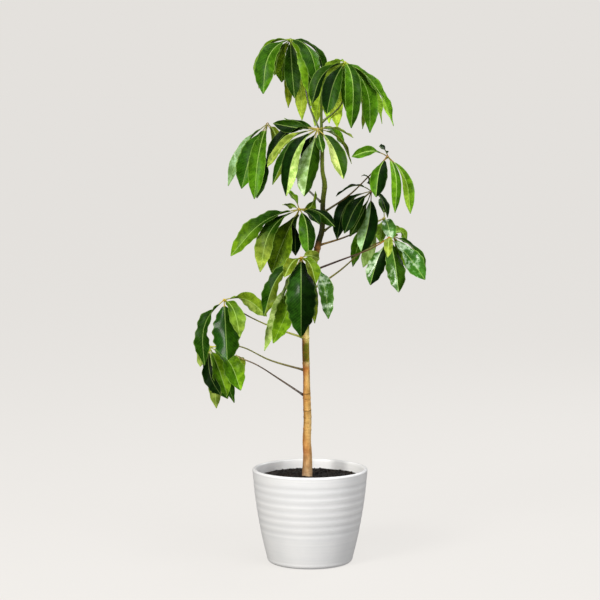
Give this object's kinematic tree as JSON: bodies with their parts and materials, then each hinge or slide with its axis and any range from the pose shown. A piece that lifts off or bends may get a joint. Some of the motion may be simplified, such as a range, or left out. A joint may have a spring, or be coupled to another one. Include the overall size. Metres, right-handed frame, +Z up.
{
  "type": "potted umbrella plant",
  "caption": "Tall potted umbrella plant: a slim bare trunk in a round white glazed pot, with drooping whorls of long glossy leaflets on thin stalks.",
  "frame": {"origin": "centre of the pot's flat underside, on the surface that the plant stands on", "axes": "+Z up along the plant's height, -Y towards the front of the plant, +X to the right as seen from the front"},
  "size_m": [0.6434, 0.4657, 1.4648],
  "materials": {
    "glaze": "gloss",
    "soil": "matte",
    "bark": "matte",
    "leaf": "satin"
  },
  "bodies": {
    "root": {"pot": "glaze", "soil": "soil", "trunk": "bark", "frond_top_left": "leaf", "frond_top_right": "leaf", "frond_upper_middle": "leaf", "frond_upper_left_back": "leaf", "frond_right_high": "leaf", "frond_right_middle": "leaf", "frond_right_low": "leaf", "frond_right_low_back": "leaf", "frond_right_inner": "leaf", "frond_left_middle": "leaf", "frond_centre_front": "leaf", "frond_low_left_high": "leaf", "frond_low_left_outer": "leaf", "frond_low_left_back": "leaf"}
  },
  "joints": []
}
